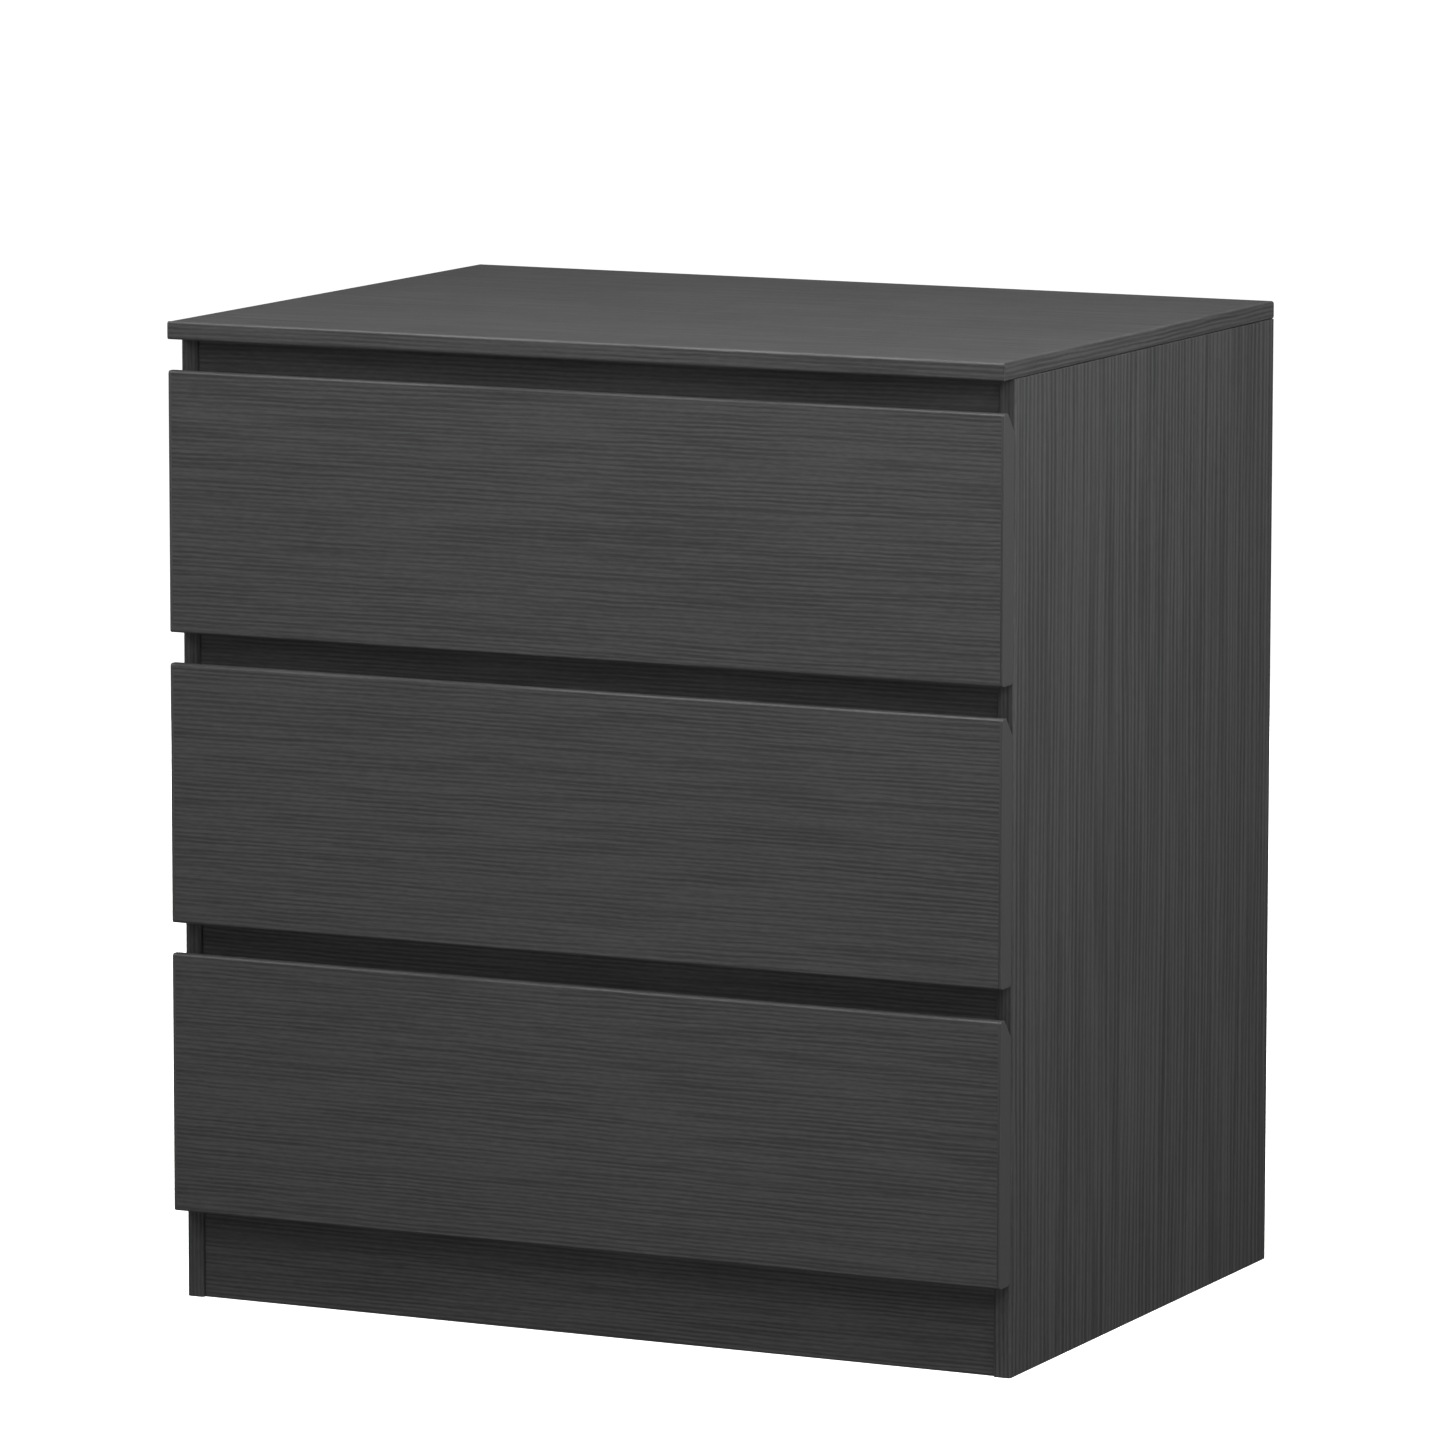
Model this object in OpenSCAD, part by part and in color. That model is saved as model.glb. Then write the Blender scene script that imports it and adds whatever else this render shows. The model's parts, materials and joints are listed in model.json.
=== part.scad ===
// Three-drawer nightstand in wood-grain laminated board.
// A top panel rests on two side panels that run to the floor. Three rails, a
// front plinth and a rear rail tie the sides together, and a thin back panel
// slides in grooves. Each drawer has a full-overlay front with a bevelled
// finger pull on its rear top edge, and runs on a pair of roller runners.
// +X is to the right, +Y to the back, +Z up. The origin is on the floor, at
// the middle of the footprint. Millimetres.

/* [Overall] */
// Overall width of the nightstand
body_w = 600; // [540:1:660]
// Overall depth of the nightstand
body_d = 448; // [444:1:480]
// Thickness of the top, the sides, the rails and the drawer box boards
board_t = 12; // [12:0.5:14]
// Thickness of the edge band glued on visible panel edges
band_t = 2; // [2:0.1:3]
// Radius of the rounding on banded edges and on the drawer fronts
edge_r = 1.8; // [0.8:0.1:1.9]

/* [Fronts] */
// Height of one drawer front
front_h = 173.5; // [171:0.5:190]
// Thickness of a drawer front
front_t = 16; // [15:0.5:18]
// Height of the finger gap above each drawer front
finger_gap = 20.5; // [18:0.5:26]
// Height of plinth that shows under the lowest drawer front
plinth_reveal = 61; // [60:1:80]
// How far a drawer front sits behind the front edge of the top
front_inset = 1; // [0.5:0.5:3]
// Gap between a closed drawer front and the front edges of the sides
front_gap = 1.6; // [1:0.2:3]
// Width of the flat that is left on a drawer front's top edge
pull_flat = 6; // [4:0.5:8]
// How far the finger-pull bevel drops behind a drawer front
pull_drop = 12.5; // [8:0.5:15]

/* [Drawer boxes] */
// Height of the drawer sides and back
box_h = 115; // [100:1:115]
// Length of the drawer sides, behind the front
box_len = 400; // [390:1:400]
// Thickness of the drawer bottoms and of the back panel
hardboard_t = 3; // [2.5:0.5:3.5]
// Distance a drawer pulls out
travel = 300; // [200:5:320]

/* [Rails] */
// Height of the three rails between the sides
rail_h = 45; // [40:1:45]
// How far the rails and the plinth sit behind the sides' front edges
rail_recess = 2.5; // [1:0.5:4]
// Height of the front plinth and of the rear rail
plinth_h = 76; // [70:1:76]

/* [Runners] */
// Radius of the runner rollers
roller_r = 10.7; // [10:0.1:10.7]
// Thickness of the runners' steel
steel_t = 1; // [0.8:0.1:1]

/* [Hidden] */
$fn = 48;

// Heights. Drawer 0 is the bottom one, 1 the middle one and 2 the top one.
pitch = front_h + finger_gap;
top_z = plinth_reveal + 3 * pitch;          // underside of the top panel
body_h = top_z + board_t;
function front_z(i) = plinth_reveal + i * pitch;
gap_mid = -finger_gap / 2;                  // middle of the gap below a front

// Depths.
y_slab = -body_d / 2;                       // front of the top panel
y_face = y_slab + front_inset;              // face of the drawer fronts
y_box = y_face + front_t;                   // back of the drawer fronts
y_side = y_box + front_gap;                 // front edges of the sides
y_rail = y_side + rail_recess;              // faces of the rails
y_end = body_d / 2;                         // rear edges
back_inset = 9;                             // groove to rear edge
y_backp = y_end - back_inset - hardboard_t; // front face of the back panel
groove_d = 5;
slack = 0.1;                                // fit of a panel in its groove

// Widths.
xi = body_w / 2 - board_t;                  // inner faces of the sides
side_gap = 12.5;                            // room for a runner
xb = xi - side_gap;                         // outer faces of a drawer box
xd = xb - board_t;                          // inner faces of a drawer box

// Runners, in heights above the underside of the fixed member.
runner_len = 400;
y_run = y_side + 2.4;                       // front end of a fixed member
channel_h = 25;
axle_z = 12;
flange_z = 23;                              // running flange of the moving member
box_z = 8;                                  // lower edge of a drawer side
runner_z = 17;                              // fixed member above the front's foot
axle_r = 3;
bore_r = 3.05;
y_fixed_axle = y_run + 14;
y_rear_axle = y_run + runner_len - 17;
screw_ys = [y_run + 37, y_run + 197, y_run + 357];
box_screw_ys = [y_run + 22, y_run + 190, y_run + 346];
function box_bottom(i) = front_z(i) + runner_z + box_z;
bottom_z = 10;                              // drawer bottom above a side's foot

// Cam fittings. In their own frame z = 0 is the joint, +z runs into the
// drilled end of the second board and +x to the face that the cam opens on.
cam_reach = 24;
cam_r = 6;

TOP_CAMS = [for (s = [-1, 1], y = [-170, 170])
  [[s * (xi + board_t / 2), y, top_z], [0, 0, -1], [-s, 0, 0]]];
TOP_DOWELS = [for (s = [-1, 1], y = [-110, 110])
  [[s * (xi + board_t / 2), y, top_z], [0, 0, -1], [-s, 0, 0]]];
function rail_zs() = [top_z - rail_h, front_z(2) + gap_mid - rail_h / 2,
                      front_z(1) + gap_mid - rail_h / 2];
function ends(y, z, open) = [for (s = [-1, 1])
  [[s * xi, y, z], [-s, 0, 0], [0, open, 0]]];
function rail_cams(k) = ends(y_rail + board_t / 2, rail_zs()[k] + 14, 1);
function rail_dowels(k) = ends(y_rail + board_t / 2, rail_zs()[k] + rail_h - 12, 1);
PLINTH_CAMS = ends(y_rail + board_t / 2, 50, 1);
PLINTH_DOWELS = ends(y_rail + board_t / 2, 24, 1);
REAR_CAMS = ends(y_backp - board_t / 2, 50, -1);
REAR_DOWELS = ends(y_backp - board_t / 2, 24, -1);
CAMS = concat(TOP_CAMS, rail_cams(0), rail_cams(1), rail_cams(2), PLINTH_CAMS,
              REAR_CAMS);
DOWELS = concat(TOP_DOWELS, rail_dowels(0), rail_dowels(1), rail_dowels(2),
                PLINTH_DOWELS, REAR_DOWELS);

// Drawer box fittings: two at each front corner and two at each rear corner.
cam_hs = [30, 85];
function front_cams(i) = [for (s = [-1, 1], h = cam_hs)
  [[s * (xd + board_t / 2), y_box, box_bottom(i) + h], [0, 1, 0], [-s, 0, 0]]];
function back_cams(i) = [for (s = [-1, 1], h = cam_hs)
  [[s * xd, y_box + box_len - board_t / 2, box_bottom(i) + h],
   [-s, 0, 0], [0, 1, 0]]];

// Sets children on a fitting's frame.
module on(f) {
  p = f[0]; z = f[1]; x = f[2]; y = cross(z, x);
  multmatrix([[x[0], y[0], z[0], p[0]], [x[1], y[1], z[1], p[1]],
              [x[2], y[2], z[2], p[2]], [0, 0, 0, 1]]) children();
}

// Extrudes a (y, z) outline from x0 to x1.
module along_x(x0, x1)
  multmatrix([[0, 0, 1, x0], [1, 0, 0, 0], [0, 1, 0, 0], [0, 0, 0, 1]])
    linear_extrude(x1 - x0) children();

// Extrudes an (x, z) outline from y0 to y1.
module along_y(y0, y1)
  translate([0, y1, 0]) rotate([90, 0, 0]) linear_extrude(y1 - y0) children();

module box(lo, hi) translate(lo) cube(hi - lo);

// Points on a quarter of a circle about c, from the angle a to a + turn.
function quarter(c, r, a, turn) = [for (k = [0:4])
  [c[0] + r * cos(a + turn * k / 4), c[1] + r * sin(a + turn * k / 4)]];

module bolt_hole() translate([0, 0, -9.2]) cylinder(r = 2.5, h = 9.2 + 0.01);
module cam_bore() {
  translate([0, 0, -0.01]) cylinder(r = 3.5, h = cam_reach);
  translate([-3.5, 0, cam_reach]) rotate([0, 90, 0])
    cylinder(r = cam_r, h = board_t);
}
module dowel_hole() translate([0, 0, -8.6]) cylinder(r = 3, h = 8.6 + 0.01);
module dowel_bore() translate([0, 0, -0.01]) cylinder(r = 3, h = 20);

module cam_bolt() color([0.72, 0.72, 0.74]) rotate_extrude()
  polygon([[0, -9], [2.1, -9], [2.45, -8.4], [2.45, -7.2], [2.15, -6.8],
           [2.45, -6.4], [2.45, -5.2], [2.15, -4.8], [2.45, -4.4],
           [2.45, -3.2], [2.15, -2.8], [2.45, -2.4], [2.45, 0], [3.3, 0],
           [3.3, 1], [2.8, 1.5], [2.8, 18], [1.6, 19], [1.6, 22], [2.9, 22.6],
           [2.9, 25], [2.2, 25.6], [0, 25.6]]);

module cam_lock() color([0.62, 0.62, 0.64]) difference() {
  translate([-3.3, 0, cam_reach]) rotate([0, 90, 0])
    cylinder(r = cam_r - 0.05, h = board_t / 2 + 3.1);
  translate([0, 0, cam_reach - cam_r - 1]) cylinder(r = 3.2, h = cam_r + 4);
  translate([board_t / 2 - 1.7, -0.7, cam_reach - 4]) cube([3, 1.4, 8]);
  translate([board_t / 2 - 1.7, -4, cam_reach - 0.7]) cube([3, 8, 1.4]);
}

module dowel() color([0.80, 0.66, 0.45]) rotate_extrude()
  polygon([[0, -8.4], [2.2, -8.4], [2.95, -7.4], [2.95, 18.4], [2.2, 19.4],
           [0, 19.4]]);

// Sets children, drawn for u = distance in from a side panel's inner face, on
// the side s: -1 is left and 1 is right.
module on_side(s) {
  if (s > 0) translate([xi, 0, 0]) mirror([1, 0, 0]) children();
  else translate([-xi, 0, 0]) children();
}

// --- carcass -------------------------------------------------------------

module top_panel() color([0.20, 0.20, 0.21]) difference() {
  box([-body_w / 2 + band_t, y_slab + band_t, top_z],
      [body_w / 2 - band_t, y_end, body_h]);
  box([-xi - groove_d, y_backp - slack, top_z - 1],
      [xi + groove_d, y_backp + hardboard_t + slack, top_z + groove_d]);
  for (f = TOP_CAMS) on(f) bolt_hole();
  for (f = TOP_DOWELS) on(f) dowel_hole();
}

// Outline of a band on a board's edge: x from 0 to t outward, z from 0 to h,
// with both outer corners rounded.
function band_outline(t, h) = concat([[0, 0]],
  quarter([t - edge_r, edge_r], edge_r, -90, 90),
  quarter([t - edge_r, h - edge_r], edge_r, 0, 90), [[0, h]]);

module top_panel_edge_bands() color([0.24, 0.24, 0.25]) {
  translate([0, y_slab + band_t, top_z]) along_x(-body_w / 2, body_w / 2)
    polygon([for (p = band_outline(band_t, board_t)) [-p[0], p[1]]]);
  for (s = [-1, 1]) translate([s * (body_w / 2 - band_t), 0, top_z])
    along_y(y_slab + band_t + 0.1, y_end)
      polygon([for (p = band_outline(band_t, board_t)) [s * p[0], p[1]]]);
}

module side_panel(s) color([0.20, 0.20, 0.21]) difference() {
  box([s > 0 ? xi : -body_w / 2, y_side + band_t, 0],
      [s > 0 ? body_w / 2 : -xi, y_end, top_z]);
  box([s > 0 ? xi - 1 : -xi - groove_d, y_backp - slack, -1],
      [s > 0 ? xi + groove_d : -xi + 1, y_backp + hardboard_t + slack, top_z + 1]);
  for (f = TOP_CAMS) if (f[0][0] * s > 0) on(f) cam_bore();
  for (f = TOP_DOWELS) if (f[0][0] * s > 0) on(f) dowel_bore();
  for (f = concat(rail_cams(0), rail_cams(1), rail_cams(2), PLINTH_CAMS,
                  REAR_CAMS))
    if (f[0][0] * s > 0) on(f) bolt_hole();
  for (f = concat(rail_dowels(0), rail_dowels(1), rail_dowels(2),
                  PLINTH_DOWELS, REAR_DOWELS))
    if (f[0][0] * s > 0) on(f) dowel_hole();
  on_side(s) for (i = [0:2], y = screw_ys)
    translate([-10.2, y, front_z(i) + runner_z + axle_z + 0.5])
      rotate([0, 90, 0]) cylinder(r = 2.5, h = 11);
}

module side_panel_edge_bands() color([0.24, 0.24, 0.25]) for (s = [-1, 1])
  translate([s * xi, y_side + band_t, 0]) linear_extrude(top_z)
    polygon([for (p = band_outline(band_t, board_t)) [s * p[1], -p[0]]]);

module back_panel() color([0.42, 0.31, 0.22])
  box([-xi - groove_d + 0.2, y_backp, 5],
      [xi + groove_d - 0.2, y_backp + hardboard_t, top_z + groove_d - 0.2]);

module rail(k) color([0.17, 0.17, 0.18]) difference() {
  box([-xi, y_rail, rail_zs()[k]],
      [xi, y_rail + board_t, rail_zs()[k] + rail_h]);
  for (f = rail_cams(k)) on(f) cam_bore();
  for (f = rail_dowels(k)) on(f) dowel_bore();
}

module front_plinth() color([0.17, 0.17, 0.18]) difference() {
  box([-xi, y_rail, 0], [xi, y_rail + board_t, plinth_h]);
  for (f = PLINTH_CAMS) on(f) cam_bore();
  for (f = PLINTH_DOWELS) on(f) dowel_bore();
}

module rear_bottom_rail() color([0.17, 0.17, 0.18]) difference() {
  box([-xi, y_backp - board_t, 0], [xi, y_backp, plinth_h]);
  for (f = REAR_CAMS) on(f) cam_bore();
  for (f = REAR_DOWELS) on(f) dowel_bore();
}

module carcass_cam_locks() for (f = CAMS) on(f) cam_lock();
module carcass_cam_bolts() for (f = CAMS) on(f) cam_bolt();
module carcass_dowels() for (f = DOWELS) on(f) dowel();

// Screw that lies flush in a runner's web, along +u into the wood.
module runner_screw(len, r) color([0.72, 0.72, 0.74]) difference() {
  union() {
    cylinder(r = 3.95, h = steel_t);
    translate([0, 0, -len]) cylinder(r = r, h = len);
  }
  translate([-2.4, -0.5, steel_t - 0.6]) cube([4.8, 1, 1]);
  translate([-0.5, -2.4, steel_t - 0.6]) cube([1, 4.8, 1]);
}

module cabinet_runner_screws()
  for (i = [0:2], s = [-1, 1], y = screw_ys) on_side(s)
    translate([0, y, front_z(i) + runner_z + axle_z + 0.5])
      rotate([0, 90, 0]) runner_screw(10, 2.45);

// Fixed member: a channel open towards the drawer, with the axle of its roller
// near the front, a stop near the front and a bent end at the back.
module cabinet_runner(i, s) color([0.10, 0.10, 0.11])
  on_side(s) translate([0, 0, front_z(i) + runner_z]) difference() {
    union() {
      box([0, y_run, 0], [steel_t, y_run + runner_len, channel_h]);
      box([0, y_run, 0], [11.2, y_run + runner_len, steel_t]);
      box([10.4, y_run, 0], [11.2, y_run + runner_len, 2.6]);
      box([0, y_run, channel_h - steel_t], [5, y_run + runner_len, channel_h]);
      box([0, y_run + runner_len - 1, 0], [9, y_run + runner_len, 9]);
      box([2.5, y_rear_axle - travel - 8.4, 0],
          [9, y_rear_axle - travel - 7.4, 3.5]);
      translate([0, y_fixed_axle, axle_z]) rotate([0, 90, 0]) {
        cylinder(r = 5, h = 1.5);
        cylinder(r = axle_r, h = 10.2);
        translate([0, 0, 9.7]) cylinder(r = 4.5, h = 0.8);
      }
    }
    for (y = screw_ys) translate([-1, y, axle_z + 0.5]) rotate([0, 90, 0])
      cylinder(r = 4, h = 4);
  }

// Roller with a bore for its axle and a shallow dish in each face.
module roller(w) color([0.86, 0.86, 0.84]) rotate([0, 90, 0]) rotate_extrude()
  polygon([[bore_r, 0], [5, 0], [5.6, 0.6], [roller_r - 2.6, 0.6],
           [roller_r - 2, 0], [roller_r - 0.6, 0], [roller_r, 0.6],
           [roller_r, w - 0.6], [roller_r - 0.6, w], [roller_r - 2, w],
           [roller_r - 2.6, w - 0.6], [5.6, w - 0.6], [5, w], [bore_r, w]]);

module cabinet_rollers(i) for (s = [-1, 1]) on_side(s)
  translate([1.8, y_fixed_axle, front_z(i) + runner_z + axle_z]) roller(7.6);

// --- drawers ---------------------------------------------------------------

// Outline of a drawer front's section, from its face to its back.
module front_section(i) translate([y_face, front_z(i)])
  polygon(concat(quarter([edge_r, edge_r], edge_r, 180, 90),
    [[front_t - 2, 0], [front_t, 2], [front_t, front_h - pull_drop],
     [pull_flat, front_h]],
    quarter([edge_r, front_h - edge_r], edge_r, 90, 90)));

module drawer_front(i) color([0.25, 0.25, 0.26]) difference() {
  along_x(-body_w / 2 + band_t, body_w / 2 - band_t) front_section(i);
  box([-xd - groove_d, y_box - groove_d, box_bottom(i) + bottom_z - slack],
      [xd + groove_d, y_box + 1, box_bottom(i) + bottom_z + hardboard_t + slack]);
  for (f = front_cams(i)) on(f) bolt_hole();
}

module front_edge_bands(i) color([0.30, 0.30, 0.31]) for (s = [-1, 1])
  along_x(s > 0 ? body_w / 2 - band_t : -body_w / 2,
          s > 0 ? body_w / 2 : -body_w / 2 + band_t) front_section(i);

module drawer_side(i, s) color([0.15, 0.15, 0.16]) difference() {
  z0 = box_bottom(i); z1 = z0 + box_h;
  along_y(y_box, y_box + box_len)
    polygon([[s * xd, z0], [s * xb, z0], [s * xb, z1 - 1], [s * (xb - 1), z1],
             [s * (xd + 1), z1], [s * xd, z1 - 1]]);
  box([s > 0 ? xd - 1 : -xd - groove_d, y_box - 1, z0 + bottom_z - slack],
      [s > 0 ? xd + groove_d : -xd + 1, y_box + box_len + 1,
       z0 + bottom_z + hardboard_t + slack]);
  for (f = front_cams(i)) if (f[0][0] * s > 0) on(f) cam_bore();
  for (f = back_cams(i)) if (f[0][0] * s > 0) on(f) bolt_hole();
  on_side(s) for (y = box_screw_ys)
    translate([side_gap - 0.01, y, front_z(i) + runner_z + axle_z + 3])
      rotate([0, 90, 0]) cylinder(r = 1.8, h = 9.2);
}

module drawer_back(i) color([0.15, 0.15, 0.16]) difference() {
  z0 = box_bottom(i); z1 = z0 + box_h; y0 = y_box + box_len - board_t;
  along_x(-xd, xd)
    polygon([[y0, z0], [y0 + board_t, z0], [y0 + board_t, z1 - 1],
             [y0 + board_t - 1, z1], [y0 + 1, z1], [y0, z1 - 1]]);
  box([-xd - 1, y0 - 1, z0 + bottom_z - slack],
      [xd + 1, y0 + groove_d, z0 + bottom_z + hardboard_t + slack]);
  for (f = back_cams(i)) on(f) cam_bore();
}

module drawer_bottom(i) color([0.18, 0.17, 0.17])
  box([-xd - groove_d + 0.2, y_box - groove_d + 0.2, box_bottom(i) + bottom_z],
      [xd + groove_d - 0.2, y_box + box_len - board_t + groove_d - 0.2,
       box_bottom(i) + bottom_z + hardboard_t]);

// Moving member: an angle under the drawer side with a running flange on top
// and the axle of the rear roller.
module drawer_runner(i, s) color([0.10, 0.10, 0.11])
  on_side(s) translate([0, 0, front_z(i) + runner_z]) difference() {
    y0 = y_box + 1; y1 = y_rear_axle + 12;
    union() {
      box([side_gap - steel_t, y0, box_z - steel_t],
          [side_gap, y1, flange_z + steel_t]);
      box([side_gap - steel_t, y0, box_z - steel_t],
          [side_gap + board_t - 1, y1, box_z]);
      box([5.6, y0, flange_z], [side_gap, y1, flange_z + steel_t]);
      translate([0, y_rear_axle, axle_z]) rotate([0, 90, 0]) {
        translate([0, 0, 1.9]) cylinder(r = axle_r, h = side_gap - 2.4);
        translate([0, 0, 1.4]) cylinder(r = 4.5, h = 0.7);
        translate([0, 0, 10.3]) cylinder(r = 4.5, h = side_gap - 10.8);
      }
    }
    for (y = box_screw_ys) translate([side_gap - 3, y, axle_z + 3])
      rotate([0, 90, 0]) cylinder(r = 4, h = 4);
  }

module rear_rollers(i) for (s = [-1, 1]) on_side(s)
  translate([2.4, y_rear_axle, front_z(i) + runner_z + axle_z]) roller(7.6);

module drawer_cam_locks(i)
  for (f = concat(front_cams(i), back_cams(i))) on(f) cam_lock();
module drawer_cam_bolts(i)
  for (f = concat(front_cams(i), back_cams(i))) on(f) cam_bolt();
module drawer_runner_screws(i)
  for (s = [-1, 1], y = box_screw_ys) on_side(s)
    translate([side_gap, y, front_z(i) + runner_z + axle_z + 3])
      rotate([0, -90, 0]) runner_screw(9, 1.75);

top_panel();
top_panel_edge_bands();
side_panel(-1);  // left_side_panel
side_panel(1);  // right_side_panel
side_panel_edge_bands();
back_panel();
rail(0);  // top_rail
rail(1);  // upper_middle_rail
rail(2);  // lower_middle_rail
front_plinth();
rear_bottom_rail();
carcass_cam_locks();
carcass_cam_bolts();
carcass_dowels();
cabinet_runner_screws();
cabinet_runner(2, -1);  // top_left_cabinet_runner
cabinet_runner(2, 1);  // top_right_cabinet_runner
cabinet_runner(1, -1);  // middle_left_cabinet_runner
cabinet_runner(1, 1);  // middle_right_cabinet_runner
cabinet_runner(0, -1);  // bottom_left_cabinet_runner
cabinet_runner(0, 1);  // bottom_right_cabinet_runner
cabinet_rollers(2);  // top_cabinet_rollers
cabinet_rollers(1);  // middle_cabinet_rollers
cabinet_rollers(0);  // bottom_cabinet_rollers
drawer_front(2);  // top_drawer_front
front_edge_bands(2);  // top_drawer_front_edge_bands
drawer_side(2, -1);  // top_drawer_left_side
drawer_side(2, 1);  // top_drawer_right_side
drawer_back(2);  // top_drawer_back
drawer_bottom(2);  // top_drawer_bottom
drawer_runner(2, -1);  // top_drawer_left_runner
drawer_runner(2, 1);  // top_drawer_right_runner
rear_rollers(2);  // top_drawer_rear_rollers
drawer_cam_locks(2);  // top_drawer_cam_locks
drawer_cam_bolts(2);  // top_drawer_cam_bolts
drawer_runner_screws(2);  // top_drawer_runner_screws
drawer_front(1);  // middle_drawer_front
front_edge_bands(1);  // middle_drawer_front_edge_bands
drawer_side(1, -1);  // middle_drawer_left_side
drawer_side(1, 1);  // middle_drawer_right_side
drawer_back(1);  // middle_drawer_back
drawer_bottom(1);  // middle_drawer_bottom
drawer_runner(1, -1);  // middle_drawer_left_runner
drawer_runner(1, 1);  // middle_drawer_right_runner
rear_rollers(1);  // middle_drawer_rear_rollers
drawer_cam_locks(1);  // middle_drawer_cam_locks
drawer_cam_bolts(1);  // middle_drawer_cam_bolts
drawer_runner_screws(1);  // middle_drawer_runner_screws
drawer_front(0);  // bottom_drawer_front
front_edge_bands(0);  // bottom_drawer_front_edge_bands
drawer_side(0, -1);  // bottom_drawer_left_side
drawer_side(0, 1);  // bottom_drawer_right_side
drawer_back(0);  // bottom_drawer_back
drawer_bottom(0);  // bottom_drawer_bottom
drawer_runner(0, -1);  // bottom_drawer_left_runner
drawer_runner(0, 1);  // bottom_drawer_right_runner
rear_rollers(0);  // bottom_drawer_rear_rollers
drawer_cam_locks(0);  // bottom_drawer_cam_locks
drawer_cam_bolts(0);  // bottom_drawer_cam_bolts
drawer_runner_screws(0);  // bottom_drawer_runner_screws
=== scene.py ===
import math

import bmesh
import bpy
from mathutils import Matrix, Vector
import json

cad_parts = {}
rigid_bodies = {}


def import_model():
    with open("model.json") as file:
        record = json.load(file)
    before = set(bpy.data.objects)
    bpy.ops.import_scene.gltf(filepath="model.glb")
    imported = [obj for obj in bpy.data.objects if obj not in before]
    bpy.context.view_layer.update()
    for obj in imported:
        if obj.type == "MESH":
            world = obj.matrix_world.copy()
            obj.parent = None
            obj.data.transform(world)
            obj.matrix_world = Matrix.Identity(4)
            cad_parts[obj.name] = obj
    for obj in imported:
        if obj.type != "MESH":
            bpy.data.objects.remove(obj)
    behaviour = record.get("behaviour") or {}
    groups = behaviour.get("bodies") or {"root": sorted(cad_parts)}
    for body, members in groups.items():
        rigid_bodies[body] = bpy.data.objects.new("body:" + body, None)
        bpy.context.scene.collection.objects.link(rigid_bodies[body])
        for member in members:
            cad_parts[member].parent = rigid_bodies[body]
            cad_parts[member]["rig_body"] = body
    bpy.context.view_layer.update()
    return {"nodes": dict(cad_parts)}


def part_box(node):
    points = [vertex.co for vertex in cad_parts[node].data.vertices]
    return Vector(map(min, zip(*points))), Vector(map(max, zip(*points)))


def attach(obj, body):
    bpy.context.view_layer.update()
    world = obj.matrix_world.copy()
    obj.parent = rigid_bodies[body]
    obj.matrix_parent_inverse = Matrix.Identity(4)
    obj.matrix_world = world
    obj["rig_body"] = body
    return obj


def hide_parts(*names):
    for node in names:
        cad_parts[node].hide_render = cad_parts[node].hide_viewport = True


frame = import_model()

nodes = frame["nodes"]
scene = bpy.context.scene
DRAWERS = ("top", "middle", "bottom")


# --- node helpers ------------------------------------------------------------

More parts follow.
